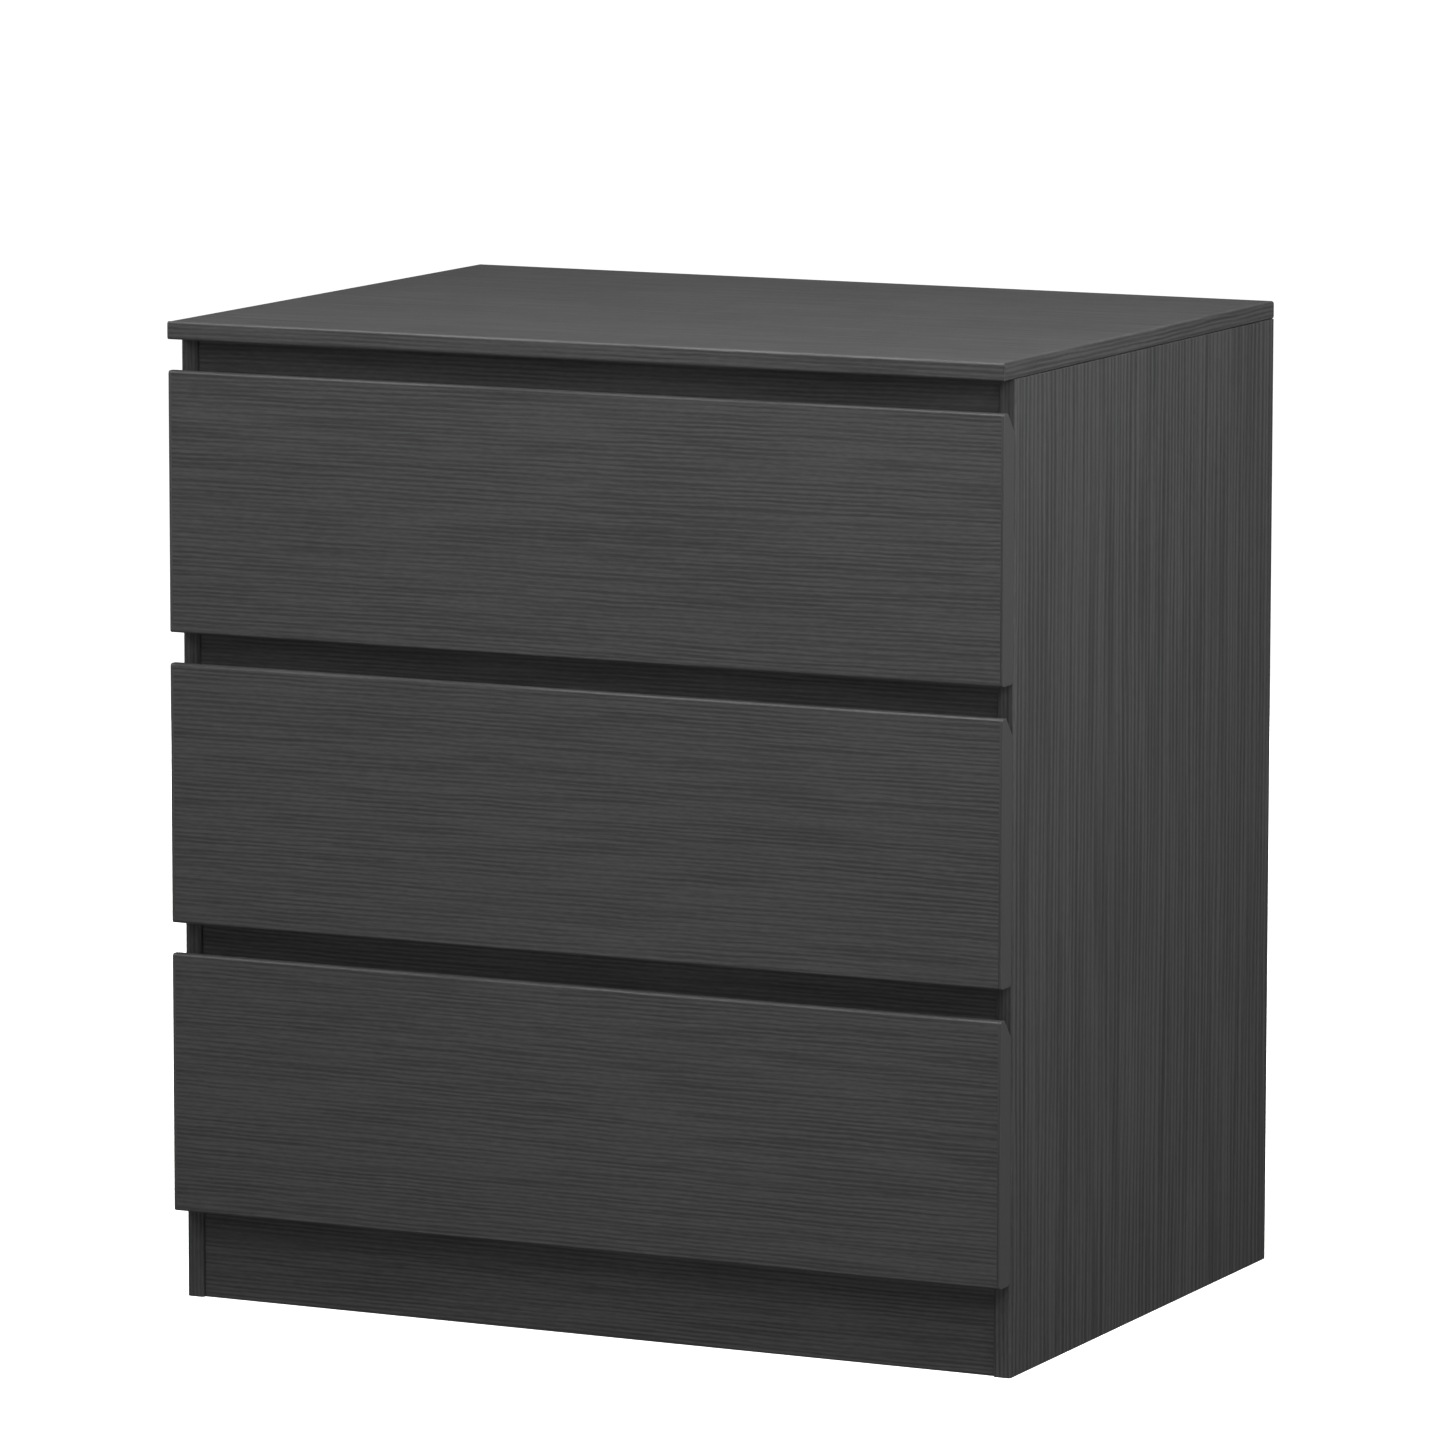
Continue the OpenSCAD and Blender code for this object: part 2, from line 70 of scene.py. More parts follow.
class Tree:
    """A material's node tree with short forms for the nodes that the finishes use."""

    def __init__(self, name):
        self.mat = bpy.data.materials.new(name)
        self.mat.use_nodes = True
        self.nt = self.mat.node_tree
        self.nt.nodes.clear()
        self.bsdf = self.nt.nodes.new("ShaderNodeBsdfPrincipled")
        out = self.nt.nodes.new("ShaderNodeOutputMaterial")
        self.nt.links.new(self.bsdf.outputs["BSDF"], out.inputs["Surface"])
        self.coords = self.nt.nodes.new("ShaderNodeTexCoord").outputs["Object"]

    def put(self, socket, value):
        if isinstance(value, bpy.types.NodeSocket):
            self.nt.links.new(value, socket)
        elif value is not None:
            socket.default_value = value

    def math(self, op, a, b=None, c=None, clamp=False):
        n = self.nt.nodes.new("ShaderNodeMath")
        n.operation, n.use_clamp = op, clamp
        for socket, value in zip(n.inputs, (a, b, c)):
            self.put(socket, value)
        return n.outputs[0]

    def vmath(self, op, a, b=None, c=None):
        n = self.nt.nodes.new("ShaderNodeVectorMath")
        n.operation = op
        for socket, value in zip(n.inputs, (a, b, c)):
            self.put(socket, value)
        return n.outputs[0]

    def scaled(self, vector, scale, shift=(0, 0, 0)):
        return self.vmath("MULTIPLY_ADD", vector, scale, shift)

    def axis(self, vector, which):
        n = self.nt.nodes.new("ShaderNodeSeparateXYZ")
        self.put(n.inputs[0], vector)
        return n.outputs["xyz".index(which)]

    def noise(self, vector, scale=1.0, detail=2.0, rough=0.5, colour=False):
        n = self.nt.nodes.new("ShaderNodeTexNoise")
        self.put(n.inputs["Vector"], vector)
        n.inputs["Scale"].default_value = scale
        n.inputs["Detail"].default_value = detail
        n.inputs["Roughness"].default_value = rough
        return n.outputs["Color" if colour else "Fac"]

    def voronoi(self, vector, scale, feature="F1", out="Distance"):
        n = self.nt.nodes.new("ShaderNodeTexVoronoi")
        n.feature = feature
        self.put(n.inputs["Vector"], vector)
        n.inputs["Scale"].default_value = scale
        return n.outputs[out]

    def ramp(self, fac, stops, mode="EASE"):
        n = self.nt.nodes.new("ShaderNodeValToRGB")
        self.put(n.inputs["Fac"], fac)
        r = n.color_ramp
        r.interpolation = mode
        while len(r.elements) < len(stops):
            r.elements.new(0.5)
        for e, (at, v) in zip(r.elements, stops):
            e.position = at
            e.color = (v, v, v, 1) if isinstance(v, (int, float)) else (*v, 1)
        return n.outputs["Color"]

    def stretch(self, value, lo, hi, to_lo=0.0, to_hi=1.0):
        n = self.nt.nodes.new("ShaderNodeMapRange")
        n.clamp = True
        for socket, v in zip(n.inputs, (value, lo, hi, to_lo, to_hi)):
            self.put(socket, v)
        return n.outputs[0]

    def mix(self, fac, a, b, blend="MIX"):
        n = self.nt.nodes.new("ShaderNodeMix")
        n.data_type, n.blend_type = "RGBA", blend
        self.put(n.inputs["Factor"], fac)
        for socket, value in ((n.inputs[6], a), (n.inputs[7], b)):
            if isinstance(value, tuple) and len(value) == 3:
                value = (*value, 1)
            self.put(socket, value)
        return n.outputs[2]

    def attribute(self, name):
        n = self.nt.nodes.new("ShaderNodeAttribute")
        n.attribute_name = name
        return n.outputs["Fac"]

    def bump(self, height, distance, strength=1.0, normal=None):
        n = self.nt.nodes.new("ShaderNodeBump")
        n.inputs["Distance"].default_value = distance
        n.inputs["Strength"].default_value = strength
        self.put(n.inputs["Height"], height)
        self.put(n.inputs["Normal"], normal)
        return n.outputs[0]

    def finish(self, colour, rough, normal=None, **values):
        self.put(self.bsdf.inputs["Base Color"], colour if isinstance(colour, bpy.types.NodeSocket) else (*colour, 1))
        self.put(self.bsdf.inputs["Roughness"], rough)
        self.put(self.bsdf.inputs["Normal"], normal)
        for name, value in values.items():
            self.bsdf.inputs[name.replace("_", " ")].default_value = value
        return self.mat


def along_scale(along, a, b):
    """A scale per axis: a along the grain and b across it."""
    return tuple(a if k == along else b for k in "xyz")


# --- finishes ----------------------------------------------------------------

BASE = 0.056
TINT = (0.998, 0.999, 1.003)


def woodgrain(name, along, across, seed, period=0.0029, dark=0.45, base=BASE, rough=0.46, length=1.0, relief=0.00007, dashes=0.13):
    """Charcoal laminate with an embossed grain: soft dark lines that run along one axis, wander, fade and meet."""
    t = Tree(name)
    co = t.vmath("ADD", t.coords, (0.731 * seed + 3.0, 1.173 * seed + 5.0, 0.419 * seed + 7.0))
    # Long waves and short kinks push the lines sideways.
    wave = t.noise(t.scaled(co, along_scale(along, 1.4, 10.0)), detail=1.0, colour=True)
    kink = t.noise(t.scaled(co, along_scale(along, 26.0, 60.0)), detail=1.0, colour=True)
    bent = t.vmath("MULTIPLY_ADD", t.vmath("SUBTRACT", wave, (0.5, 0.5, 0.5)), along_scale(along, 0.0, 0.0055), co)
    bent = t.vmath("MULTIPLY_ADD", t.vmath("SUBTRACT", kink, (0.5, 0.5, 0.5)), along_scale(along, 0.0, 0.0016), bent)
    # Regular lines whose spacing drifts.
    drift = t.noise(t.scaled(co, along_scale(along, 3.0, 30.0)), detail=1.0)
    phase = t.math("MULTIPLY_ADD", t.axis(bent, across), 2 * math.pi / period, t.math("MULTIPLY", drift, 2 * math.pi * 1.8))
    regular = t.math("MULTIPLY_ADD", t.math("SINE", phase), 0.5, 0.5)
    # Loose lines of uneven strength.
    loose = t.noise(t.scaled(bent, along_scale(along, 11.0 / length, 1.75 / period)), detail=1.0, rough=0.4)
    loose = t.stretch(loose, 0.32, 0.68)
    lines = t.math("ADD", t.math("MULTIPLY", regular, 0.52), t.math("MULTIPLY", loose, 0.48))
    deep = t.ramp(lines, [(0.18, 1.0), (0.46, 0.62), (0.66, 0.10), (0.84, 0.0)], "B_SPLINE")
    fade = t.stretch(t.noise(t.scaled(co, along_scale(along, 9.0 / length, 95.0)), detail=1.0), 0.30, 0.54, 0.62, 1.0)
    deep = t.math("MULTIPLY", deep, fade)
    # Fine fibres and pores, and slow changes of tone.
    fibre = t.noise(t.scaled(bent, along_scale(along, 60.0, 1900.0)), detail=2.0, rough=0.6)
    pores = t.ramp(t.noise(t.scaled(bent, along_scale(along, 110.0, 1300.0)), detail=1.0), [(0.30, 1.0), (0.40, 0.0)], "LINEAR")
    tone = t.noise(t.scaled(co, along_scale(along, 2.0, 16.0)), detail=2.0)
    level = t.math("MULTIPLY_ADD", deep, -dark, 1.0)
    level = t.math("MULTIPLY", level, t.stretch(fibre, 0.25, 0.75, 0.95, 1.05))
    level = t.math("MULTIPLY", level, t.stretch(tone, 0.25, 0.75, 0.97, 1.03))
    level = t.math("MULTIPLY", level, t.math("MULTIPLY_ADD", pores, -0.06, 1.0))
    dash = t.noise(t.scaled(bent, along_scale(along, 150.0, 800.0)), detail=1.0)
    level = t.math("MULTIPLY", level, t.stretch(dash, 0.28, 0.72, 1.0 - dashes, 1.0 + dashes))
    # Rounded edges are a little lighter: partly rubbed wear, partly a painted highlight along the edges.
    worn_and_highlight = t.math("MULTIPLY", t.attribute("edge_wear_and_highlight"), t.stretch(t.noise(t.scaled(co, (90.0, 90.0, 90.0)), detail=3.0), 0.35, 0.65, 0.35, 1.0))
    colour = t.vmath("SCALE", tuple(base * k for k in TINT))
    scale = colour.node.inputs["Scale"]
    t.put(scale, t.math("MULTIPLY_ADD", worn_and_highlight, 0.55, level))
    r = t.math("MULTIPLY_ADD", deep, 0.16, rough)
    r = t.math("ADD", r, t.stretch(t.noise(t.scaled(co, (14.0, 14.0, 14.0)), detail=3.0), 0.3, 0.7, -0.03, 0.03))
    height = t.math("ADD", t.math("MULTIPLY", deep, -0.8), t.math("MULTIPLY", fibre, 0.25))
    height = t.math("MULTIPLY_ADD", pores, -0.35, height)
    return t.finish(colour, r, t.bump(height, relief), Specular_IOR_Level=0.36)


def smooth_band(name, seed):
    """Satin edge band with a faint drawn texture, and rounded corners painted a little lighter as wear and as a painted
    highlight.
    """
    t = Tree(name)
    co = t.vmath("ADD", t.coords, (seed * 0.37, seed * 0.71, seed * 0.53))
    drawn = t.noise(t.scaled(co, (1400.0, 1400.0, 30.0)), detail=2.0)
    tone = t.noise(t.scaled(co, (22.0, 22.0, 22.0)), detail=3.0)
    speck = t.noise(t.scaled(co, (2600.0, 2600.0, 2600.0)), detail=1.0)
    level = t.math("MULTIPLY", t.stretch(drawn, 0.25, 0.75, 0.95, 1.05), t.stretch(tone, 0.25, 0.75, 0.95, 1.05))
    # Rounded corners painted lighter: partly wear, partly a painted highlight.
    worn_and_highlight = t.math("MULTIPLY", t.attribute("edge_wear_and_highlight"), t.stretch(t.noise(t.scaled(co, (90.0, 90.0, 90.0)), detail=3.0), 0.35, 0.65, 0.35, 1.0))
    colour = t.vmath("SCALE", tuple(0.047 * k for k in TINT))
    t.put(colour.node.inputs["Scale"], t.math("MULTIPLY_ADD", worn_and_highlight, 0.12, level))
    r = t.stretch(tone, 0.3, 0.7, 0.38, 0.46)
    height = t.math("ADD", t.math("MULTIPLY", drawn, 0.5), t.math("MULTIPLY", speck, 0.5))
    return t.finish(colour, r, t.bump(height, 0.00003), Specular_IOR_Level=0.4)


def particle_core():
    """Cut particle board: packed chips of several shades with dark gaps between them."""
    t = Tree("particle_board_core")
    jitter = t.vmath("MULTIPLY_ADD", t.noise(t.scaled(t.coords, (160.0,) * 3), detail=2.0, colour=True), (0.004,) * 3, t.coords)
    chips = t.voronoi(t.scaled(jitter, (1.0, 1.0, 1.9)), 430.0, out="Color")
    gaps = t.voronoi(t.scaled(jitter, (1.0, 1.0, 1.9)), 430.0, feature="DISTANCE_TO_EDGE")
    small = t.noise(t.scaled(t.coords, (1500.0,) * 3), detail=3.0)
    shade = t.axis(chips, "x")
    colour = t.mix(shade, (0.30, 0.205, 0.125), (0.50, 0.375, 0.245))
    colour = t.mix(t.stretch(t.axis(chips, "y"), 0.8, 1.0, 0.0, 0.7), colour, (0.15, 0.095, 0.055))
    colour = t.mix(t.stretch(gaps, 0.0, 0.10, 0.75, 0.0), colour, (0.10, 0.065, 0.04))
    colour = t.mix(t.stretch(small, 0.3, 0.7, 0.35, 0.0), colour, (0.20, 0.13, 0.08))
    height = t.math("ADD", t.stretch(gaps, 0.0, 0.12), t.math("MULTIPLY", small, 0.6))
    return t.finish(colour, t.stretch(small, 0.3, 0.7, 0.75, 0.92), t.bump(height, 0.00025), Specular_IOR_Level=0.25)


def box_laminate():
    """Plain matt laminate of the drawer boxes: fine pearl texture and faint scuffs."""
    t = Tree("drawer_box_laminate")
    pearl = t.noise(t.scaled(t.coords, (900.0,) * 3), detail=2.0)
    cloud = t.noise(t.scaled(t.coords, (9.0,) * 3), detail=4.0)
    scuff = t.noise(t.scaled(t.coords, (30.0, 260.0, 260.0)), detail=2.0)
    mark = t.ramp(scuff, [(0.60, 0.0), (0.70, 1.0)], "LINEAR")
    level = t.math("MULTIPLY", t.stretch(cloud, 0.3, 0.7, 0.93, 1.07), t.stretch(pearl, 0.3, 0.7, 0.94, 1.06))
    level = t.math("MULTIPLY_ADD", mark, 0.12, level)
    # Rounded edges painted lighter: partly wear, partly a painted highlight.
    level = t.math("MULTIPLY_ADD", t.attribute("edge_wear_and_highlight"), 0.30, level)
    colour = t.vmath("SCALE", (0.0500, 0.0502, 0.0510))
    t.put(colour.node.inputs["Scale"], level)
    r = t.math("MULTIPLY_ADD", mark, -0.10, t.stretch(cloud, 0.3, 0.7, 0.55, 0.63))
    return t.finish(colour, r, t.bump(pearl, 0.00006), Specular_IOR_Level=0.38)


def hardboard_bare():
    """Bare pressed fibre board: brown, with short fibres, specks and slow clouds."""
    t = Tree("hardboard_bare")
    cloud = t.noise(t.scaled(t.coords, (7.0,) * 3), detail=4.0)
    fibre = t.noise(t.scaled(t.coords, (300.0, 1200.0, 900.0)), detail=3.0, rough=0.65)
    cross = t.noise(t.scaled(t.coords, (1100.0, 1200.0, 260.0)), detail=3.0, rough=0.65)
    speck = t.ramp(t.noise(t.scaled(t.coords, (420.0,) * 3), detail=2.0), [(0.62, 0.0), (0.72, 1.0)], "LINEAR")
    both = t.math("MULTIPLY_ADD", cross, 0.5, t.math("MULTIPLY", fibre, 0.5))
    mottle = t.noise(t.scaled(t.coords, (75.0,) * 3), detail=5.0, rough=0.65)
    clump = t.ramp(t.noise(t.scaled(t.coords, (190.0, 260.0, 110.0)), detail=3.0), [(0.58, 0.0), (0.70, 1.0)], "LINEAR")
    colour = t.mix(t.stretch(both, 0.34, 0.66), (0.115, 0.066, 0.037), (0.250, 0.162, 0.096))
    colour = t.mix(t.stretch(cloud, 0.3, 0.7, 0.0, 0.50), colour, (0.150, 0.088, 0.049))
    colour = t.mix(t.stretch(mottle, 0.36, 0.64, 0.0, 0.45), colour, (0.255, 0.172, 0.106))
    colour = t.mix(t.math("MULTIPLY", clump, 0.40), colour, (0.085, 0.048, 0.028))
    colour = t.mix(t.math("MULTIPLY", speck, 0.60), colour, (0.050, 0.029, 0.018))
    return t.finish(colour, t.stretch(both, 0.3, 0.7, 0.62, 0.80), t.bump(both, 0.00018), Specular_IOR_Level=0.3)


def hardboard_coated():
    """The painted face of the fibre board: dark grey with the board's faint orange peel."""
    t = Tree("hardboard_coated")
    peel = t.noise(t.scaled(t.coords, (520.0,) * 3), detail=3.0)
    cloud = t.noise(t.scaled(t.coords, (8.0,) * 3), detail=4.0)
    lint = t.ramp(t.noise(t.scaled(t.coords, (260.0,) * 3), detail=1.0), [(0.68, 0.0), (0.76, 1.0)], "LINEAR")
    level = t.math("MULTIPLY", t.stretch(cloud, 0.3, 0.7, 0.92, 1.08), t.stretch(peel, 0.3, 0.7, 0.95, 1.05))
    level = t.math("MULTIPLY_ADD", lint, 0.18, level)
    colour = t.vmath("SCALE", (0.044, 0.044, 0.046))
    t.put(colour.node.inputs["Scale"], level)
    return t.finish(colour, t.stretch(cloud, 0.3, 0.7, 0.52, 0.62), t.bump(peel, 0.00008), Specular_IOR_Level=0.38)


def powder_coat():
    """Black powder-coated steel: orange peel, and a rubbed sheen along the track."""
    t = Tree("black_coated_steel")
    peel = t.noise(t.scaled(t.coords, (1500.0,) * 3), detail=2.0)
    coarse = t.noise(t.scaled(t.coords, (60.0, 14.0, 60.0)), detail=3.0)
    rub = t.ramp(t.noise(t.scaled(t.coords, (900.0, 7.0, 900.0)), detail=2.0), [(0.56, 0.0), (0.72, 1.0)], "LINEAR")
    colour = t.mix(t.math("MULTIPLY", rub, 0.45), (0.018, 0.018, 0.019), (0.060, 0.060, 0.062))
    r = t.math("MULTIPLY_ADD", rub, -0.14, t.stretch(coarse, 0.3, 0.7, 0.40, 0.52))
    return t.finish(colour, r, t.bump(peel, 0.00006), Specular_IOR_Level=0.5)


def nylon():
    """Moulded off-white nylon: slight yellowing, a fine mould texture and a greyed track."""
    t = Tree("white_nylon")
    cloud = t.noise(t.scaled(t.coords, (130.0,) * 3), detail=3.0)
    fine = t.noise(t.scaled(t.coords, (2400.0,) * 3), detail=2.0)
    track = t.noise(t.scaled(t.coords, (2200.0, 90.0, 90.0)), detail=2.0)
    colour = t.mix(t.stretch(cloud, 0.3, 0.7), (0.70, 0.68, 0.62), (0.80, 0.79, 0.75))
    colour = t.mix(t.stretch(track, 0.55, 0.75, 0.0, 0.30), colour, (0.42, 0.41, 0.39))
    return t.finish(colour, t.stretch(cloud, 0.3, 0.7, 0.34, 0.46), t.bump(fine, 0.00003), Specular_IOR_Level=0.5)


def zinc(name, cast):
    """Zinc: dull and grainy as a casting, brighter and drawn as plating."""
    t = Tree(name)
    grain = t.noise(t.scaled(t.coords, (1900.0,) * 3), detail=2.0)
    cloud = t.noise(t.scaled(t.coords, (210.0,) * 3), detail=3.0)
    lo, hi = ((0.30, 0.30, 0.31), (0.46, 0.46, 0.47)) if cast else ((0.50, 0.50, 0.51), (0.68, 0.68, 0.70))
    colour = t.mix(t.stretch(cloud, 0.3, 0.7), lo, hi)
    colour = t.mix(t.stretch(grain, 0.62, 0.80, 0.0, 0.5), colour, (0.20, 0.20, 0.20))
    r = t.stretch(cloud, 0.3, 0.7, 0.42 if cast else 0.26, 0.56 if cast else 0.38)
    return t.finish(colour, r, t.bump(grain, 0.00006 if cast else 0.00002), Metallic=1.0)


def beech():
    """Bare turned beech with short ray flecks."""
    t = Tree("bare_beech")
    fibre = t.noise(t.scaled(t.coords, (500.0, 500.0, 500.0)), detail=3.0)
    fleck = t.ramp(t.noise(t.scaled(t.coords, (1500.0, 1500.0, 400.0)), detail=1.0), [(0.60, 0.0), (0.68, 1.0)], "LINEAR")
    colour = t.mix(t.stretch(fibre, 0.3, 0.7), (0.46, 0.31, 0.18), (0.64, 0.47, 0.30))
    colour = t.mix(t.math("MULTIPLY", fleck, 0.5), colour, (0.30, 0.18, 0.10))
    return t.finish(colour, t.stretch(fibre, 0.3, 0.7, 0.58, 0.70), t.bump(fibre, 0.00008), Specular_IOR_Level=0.3)


CORE = particle_core()
BOX = box_laminate()
BARE = hardboard_bare()
COATED = hardboard_coated()
STEEL = powder_coat()
NYLON = nylon()
CAST = zinc("zinc_die_cast", True)
PLATED = zinc("zinc_plated_steel", False)
BEECH = beech()


# --- boards ------------------------------------------------------------------

def dressed(node, name, slot, materials, choose, width, segments=3, min_len=0.03, one_finish=False, flush=None):
    """A new piece with a CAD board's outline, bores and grooves, whose long outer edges are rounded.

    choose(normal, centre) gives the index into materials of each face before the edges are rounded. A rounding
    is marked 1 in a per-corner attribute that is 0 elsewhere, which the finishes paint lighter, partly as wear and
    partly as a painted highlight. An edge with both ends in flush(point) meets another piece without a step and stays
    sharp.
    """
    src = nodes[node]
    bm = bmesh.new()
    bm.from_mesh(src.data)
    bmesh.ops.remove_doubles(bm, verts=bm.verts, dist=2e-6)
    bmesh.ops.dissolve_limit(bm, angle_limit=math.radians(0.4), verts=bm.verts, edges=bm.edges)
    bm.normal_update()
    for f in bm.faces:
        f.material_index = choose(f.normal, f.calc_center_median())
    picked = [
        e for e in bm.edges
        if len(e.link_faces) == 2 and e.is_convex and e.calc_length() > min_len
        and e.calc_face_angle(0) > math.radians(38)
        and not (flush and all(flush(v.co) for v in e.verts))
    ]
    sides = {f for f in bm.faces}
    made = bmesh.ops.bevel(bm, geom=picked, offset=width, offset_type="OFFSET", segments=segments, profile=0.5,
                           affect="EDGES", clamp_overlap=True, miter_outer="SHARP", material=-1)
    new = set(made["faces"]) - sides
    for f in new:
        f.material_index = min(f.material_index, choose(f.normal, f.calc_center_median()) if one_finish else 0)
    # Marks the roundings, which the finishes paint lighter: wear and a painted highlight.
    layer = bm.loops.layers.float_color.new("edge_wear_and_highlight")
    for f in bm.faces:
        v = 1.0 if f in new else 0.0
        for loop in f.loops:
            loop[layer] = (v, v, v, 1.0)
    bmesh.ops.triangulate(bm, faces=[f for f in bm.faces if len(f.verts) > 4])
    mesh = bpy.data.meshes.new(name)
    bm.to_mesh(mesh)
    bm.free()
    for m in materials:
        mesh.materials.append(m)
    obj = bpy.data.objects.new(name, mesh)
    scene.collection.objects.link(obj)
    for p in mesh.polygons:
        p.use_smooth = True
    mesh.set_sharp_from_angle(angle=math.radians(36))
    w = obj.modifiers.new("face_weighted_normals", "WEIGHTED_NORMAL")
    w.keep_sharp, w.weight, w.mode = True, 50, "FACE_AREA"
    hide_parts(node)
    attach(obj, src["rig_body"])
    return obj


def flat(axis, lo, hi):
    """Picks material 0 for the two faces of a board and material 1 for its raw edges, bores and grooves."""
    i = "xyz".index(axis)

    def choose(n, c):
        return 0 if abs(n[i]) > 0.9 and (abs(c[i] - lo) < 2e-5 or abs(c[i] - hi) < 2e-5) else 1
    return choose


def board(node, name, slot, laminate, axis, width=0.0004, **more):
    lo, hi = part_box(node)
    i = "xyz".index(axis)
    return dressed(node, name, slot, [laminate, CORE], flat(axis, lo[i], hi[i]), width, **more)


LAMINATE, GRAIN_BAND = "charcoal_woodgrain", "woodgrain_edge_band"
BAND_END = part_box("top_panel")[0].y

board("top_panel", "top_board", LAMINATE, woodgrain("woodgrain_top", "x", "y", 1, period=0.0034, dark=0.38, rough=0.42, relief=0.000025), "z", width=0.0002)
dressed("top_panel_edge_bands", "top_board_bands", GRAIN_BAND,
        [woodgrain("woodgrain_top_front_band", "x", "z", 2), woodgrain("woodgrain_top_side_band", "y", "z", 3)],
        lambda n, c: 1 if c.y > BAND_END - 1e-5 else 0, 0.0001, one_finish=True)
for s, side in enumerate(("left", "right")):
    lo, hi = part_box(f"{side}_side_panel")

    def panel_faces(n, c, lo=lo.copy(), hi=hi.copy()):
        # The ends under the top and on the floor are sealed; the rear edge, the bores and the groove are raw.
        on_face = abs(n.x) > 0.6 and (abs(c.x - lo.x) < 2e-5 or abs(c.x - hi.x) < 2e-5)
        end = abs(n.z) > 0.6 and (abs(c.z - lo.z) < 2e-5 or abs(c.z - hi.z) < 2e-5)
        return 0 if on_face or end else 1
    dressed(f"{side}_side_panel", f"{side}_side_board", LAMINATE,
            [woodgrain(f"woodgrain_{side}_side", "z", "y", 4 + s, period=0.0060, dark=0.44, length=2.0), CORE], panel_faces, 0.0002)
dressed("side_panel_edge_bands", "side_board_bands", GRAIN_BAND, [woodgrain("woodgrain_side_band", "z", "x", 6)],
        lambda n, c: 0, 0.0001)
for k, rail in enumerate(("top_rail", "upper_middle_rail", "lower_middle_rail", "front_plinth", "rear_bottom_rail")):
    lo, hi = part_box(rail)

    def rail_faces(n, c, lo=lo.copy(), hi=hi.copy()):
        # Both faces and both long edges are laminated; the ends and the bores are raw.
        on_face = abs(n.y) > 0.6 and (abs(c.y - lo.y) < 2e-5 or abs(c.y - hi.y) < 2e-5)
        edge = abs(n.z) > 0.6 and (abs(c.z - lo.z) < 2e-5 or abs(c.z - hi.z) < 2e-5)
        return 0 if on_face or edge else 1
    # Painted light: all rails but the plinth get a lighter copy of the laminate (0.062 against 0.056), to make up for
    # the shade they stand in behind the fronts.
    dressed(rail, rail + "_board", LAMINATE, [woodgrain("woodgrain_" + rail, "x", "z", 7 + k, base=BASE if rail == "front_plinth" else 0.062), CORE], rail_faces, 0.0004)

lo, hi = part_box("back_panel")
dressed("back_panel", "back_board", "hardboard", [COATED, BARE], lambda n, c: 0 if n.y < -0.9 else 1, 0.0003)

for k, d in enumerate(DRAWERS):
    p = d + "_drawer_"
    lo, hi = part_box(p + "front")
    wood = woodgrain(f"woodgrain_{d}_front", "x", "z", 13 + 3 * k)
    back = hi.y

    def wrapped(n, c, back=back, hi=hi, lo=lo):
        # The bores and the groove open on the back; everything else is wrapped in laminate.
        if abs(n.x) > 0.9 and abs(abs(c.x) - hi.x) < 2e-5:
            return 1
        inside = c.y > back - 0.0095 and lo.z + 0.004 < c.z < hi.z - 0.014 and abs(c.y - back) > 2e-5
        return 1 if inside and abs(c.x) < 0.28 else 0

    end = hi.x
    dressed(p + "front", p + "front_board", LAMINATE, [wood, CORE], wrapped, 0.00045,
            flush=lambda v, end=end: abs(v.x) > end - 1e-4)
    dressed(p + "front_edge_bands", p + "front_end_bands", "smooth_edge_band", [smooth_band(f"smooth_band_{d}", k + 1)],
            lambda n, c: 0, 0.00025, min_len=0.0005, flush=lambda v, end=end: abs(v.x) < end + 1e-4)
    for side in ("left_side", "right_side"):
        lo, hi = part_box(p + side)
        board_lo, board_hi = lo.copy(), hi.copy()

        def side_faces(n, c, lo=board_lo, hi=board_hi):
            on_face = abs(n.x) > 0.6 and (c.x - lo.x < 0.0011 or hi.x - c.x < 0.0011)
            edge = abs(n.z) > 0.6 and (c.z - lo.z < 2e-5 or hi.z - c.z < 0.0011)
            return 0 if on_face or edge else 1
        dressed(p + side, p + side + "_board", "drawer_box_laminate", [BOX, CORE], side_faces, 0.0004)
    lo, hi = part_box(p + "back")

    def back_faces(n, c, lo=lo.copy(), hi=hi.copy()):
        on_face = abs(n.y) > 0.6 and (c.y - lo.y < 0.0011 or hi.y - c.y < 0.0011)
        edge = abs(n.z) > 0.6 and (c.z - lo.z < 2e-5 or hi.z - c.z < 0.0011)
        return 0 if on_face or edge else 1
    dressed(p + "back", p + "back_board", "drawer_box_laminate", [BOX, CORE], back_faces, 0.0004)
    dressed(p + "bottom", p + "bottom_board", "hardboard", [COATED, BARE], lambda n, c: 0 if n.z > 0.9 else 1, 0.0003)


# --- hardware: CAD nodes whose shape is right --------------------------------

def finish_cad(node, material):
    mesh = nodes[node].data
    if mesh.materials:
        for i in range(len(mesh.materials)):
            mesh.materials[i] = material
    else:
        mesh.materials.append(material)


for d in DRAWERS:
    for side in ("left", "right"):
        finish_cad(f"{d}_{side}_cabinet_runner", STEEL)
        finish_cad(f"{d}_drawer_{side}_runner", STEEL)
    finish_cad(f"{d}_cabinet_rollers", NYLON)
    finish_cad(f"{d}_drawer_rear_rollers", NYLON)
    finish_cad(f"{d}_drawer_cam_locks", CAST)
    finish_cad(f"{d}_drawer_cam_bolts", PLATED)
    finish_cad(f"{d}_drawer_runner_screws", PLATED)
finish_cad("carcass_cam_locks", CAST)
finish_cad("carcass_cam_bolts", PLATED)
finish_cad("carcass_dowels", BEECH)
finish_cad("cabinet_runner_screws", PLATED)


# --- studio ------------------------------------------------------------------

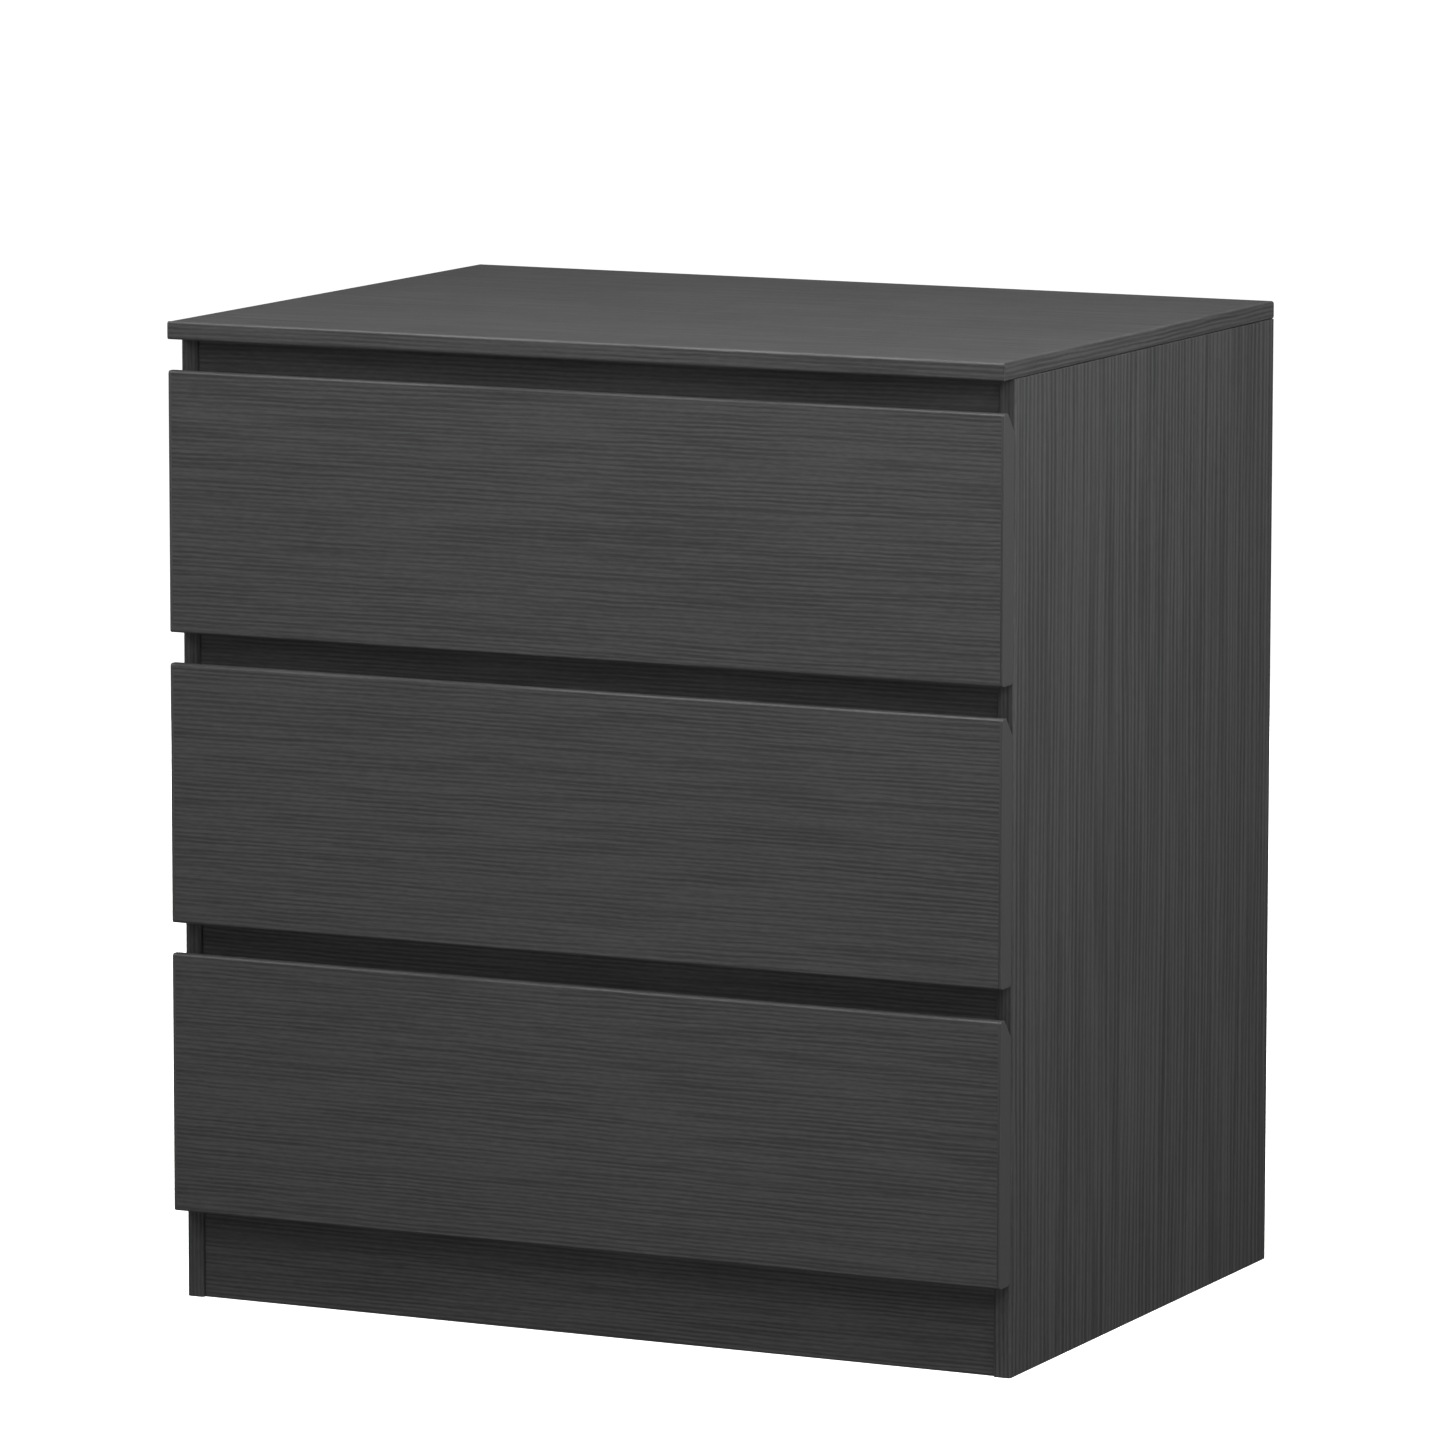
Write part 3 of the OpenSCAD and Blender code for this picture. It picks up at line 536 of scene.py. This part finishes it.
def floor():
    bm = bmesh.new()
    half = 40.0
    corners = [bm.verts.new((x * half, y * half, -0.0002)) for x, y in ((-1, -1), (1, -1), (1, 1), (-1, 1))]
    bm.faces.new(corners)
    mesh = bpy.data.meshes.new("studio_floor")
    bm.to_mesh(mesh)
    bm.free()
    t = Tree("pale_floor")
    cloud = t.noise(t.scaled(t.coords, (1.5,) * 3), detail=3.0)
    pale = t.mix(t.stretch(cloud, 0.3, 0.7), (0.86, 0.86, 0.86), (0.88, 0.88, 0.88))
    mesh.materials.append(t.finish(pale, 0.9, Specular_IOR_Level=0.1, Emission_Color=(1.0, 1.0, 1.0, 1.0), Emission_Strength=1.05))
    obj = bpy.data.objects.new("studio_floor", mesh)
    scene.collection.objects.link(obj)
    obj.visible_diffuse = obj.visible_glossy = False


def area(name, at, target, size, power, sheen=True):
    light = bpy.data.lights.new(name, "AREA")
    light.shape = "RECTANGLE"
    light.size = light.size_y = size
    light.energy = power
    obj = bpy.data.objects.new(name, light)
    scene.collection.objects.link(obj)
    obj.location = at
    obj.rotation_mode = "QUATERNION"
    obj.rotation_quaternion = (Vector(target) - Vector(at)).to_track_quat("-Z", "Y")
    obj.visible_camera = False
    obj.visible_glossy = sheen
    return obj


SKY = {"up": 0.0, "horizon": 0.0, "down": 0.21}


def world():
    w = bpy.data.worlds.new("studio")
    scene.world = w
    w.use_nodes = True
    nt = w.node_tree
    nt.nodes.clear()
    out = nt.nodes.new("ShaderNodeOutputWorld")
    mix = nt.nodes.new("ShaderNodeMixShader")
    path = nt.nodes.new("ShaderNodeLightPath")
    seen = nt.nodes.new("ShaderNodeBackground")
    seen.inputs["Color"].default_value = (1, 1, 1, 1)
    seen.inputs["Strength"].default_value = 1.0
    lit = nt.nodes.new("ShaderNodeBackground")
    tex = nt.nodes.new("ShaderNodeTexCoord")
    sep = nt.nodes.new("ShaderNodeSeparateXYZ")
    ramp = nt.nodes.new("ShaderNodeValToRGB")
    up = nt.nodes.new("ShaderNodeMath")
    up.operation = "MULTIPLY_ADD"
    up.inputs[1].default_value = up.inputs[2].default_value = 0.5
    nt.links.new(tex.outputs["Generated"], sep.inputs[0])
    nt.links.new(sep.outputs[2], up.inputs[0])
    nt.links.new(up.outputs[0], ramp.inputs[0])
    r = ramp.color_ramp
    r.interpolation = "EASE"
    r.elements[0].position, r.elements[1].position = 0.40, 1.0
    middle = r.elements.new(0.54)
    for e, v in ((r.elements[0], SKY["down"]), (middle, SKY["horizon"]), (r.elements[2], SKY["up"])):
        e.color = (v, v, v, 1)
    nt.links.new(ramp.outputs[0], lit.inputs["Color"])
    nt.links.new(path.outputs["Is Camera Ray"], mix.inputs[0])
    nt.links.new(lit.outputs[0], mix.inputs[1])
    nt.links.new(seen.outputs[0], mix.inputs[2])
    nt.links.new(mix.outputs[0], out.inputs[0])


floor()
world()
area("overhead", (0.0, -0.4, 2.3), (0.0, 0.0, 0.3), 1.6, 55.0)
area("front_left", (-1.5, -1.9, 2.2), (0.0, 0.0, 0.35), 1.2, 15.5)
area("front_right", (0.9, -1.2, 1.15), (0.0, 0.0, 0.55), 0.6, 7.2, sheen=False)
area("right", (1.35, -0.35, 1.15), (0.3, 0.0, 0.55), 0.6, 15.6, sheen=False)
area("right_high", (1.15, -0.1, 1.6), (0.3, 0.0, 0.5), 0.7, 9.0, sheen=False)
area("corner_high", (1.0, -0.9, 1.7), (0.1, -0.1, 0.5), 0.7, 1.5, sheen=False)
area("near_left_high", (-0.55, -1.0, 1.5), (0.0, -0.2, 0.5), 0.7, 4.2, sheen=False)
area("near_left", (-0.7, -1.3, 1.25), (0.0, -0.2, 0.55), 0.6, 1.8, sheen=False)
area("near_left_low", (-0.6, -1.3, 0.75), (0.0, -0.2, 0.5), 0.6, 1.4, sheen=False)
area("floor_bounce", (0.0, -1.3, 0.02), (0.0, -0.2, 0.6), 0.8, 2.4, sheen=False)
area("floor_bounce_near", (0.1, -0.75, 0.02), (0.0, -0.15, 0.55), 0.5, 0.3, sheen=False)
area("back_left", (-1.2, 2.4, 0.45), (0.0, 0.2, 0.35), 0.9, 24.0, sheen=False)


# --- camera at the photograph's angle -----------------------------------------

def camera():
    yaw, pitch, roll = 0.44619177, 0.14257981, 0.00120525
    cy, sy, cp, sp = math.cos(yaw), math.sin(yaw), math.cos(pitch), math.sin(pitch)
    forward = Vector((-sy * cp, cy * cp, -sp))
    right = Vector((cy, sy, 0.0))
    up = right.cross(forward)
    r2 = math.cos(roll) * right + math.sin(roll) * up
    u2 = -math.sin(roll) * right + math.cos(roll) * up
    data = bpy.data.cameras.new("camera")
    data.sensor_width, data.lens = 36.0, 231.3260
    data.clip_start, data.clip_end = 0.1, 200.0
    cam = bpy.data.objects.new("camera", data)
    scene.collection.objects.link(cam)
    m = Matrix((r2, u2, -forward)).transposed().to_4x4()
    m.translation = Vector((2.646892, -5.539339, 1.260381))
    cam.matrix_world = m
    scene.camera = cam


camera()
scene.view_settings.view_transform = "Standard"
scene.view_settings.look = "None"
scene.view_settings.exposure = 0.0
scene.view_settings.gamma = 1.0
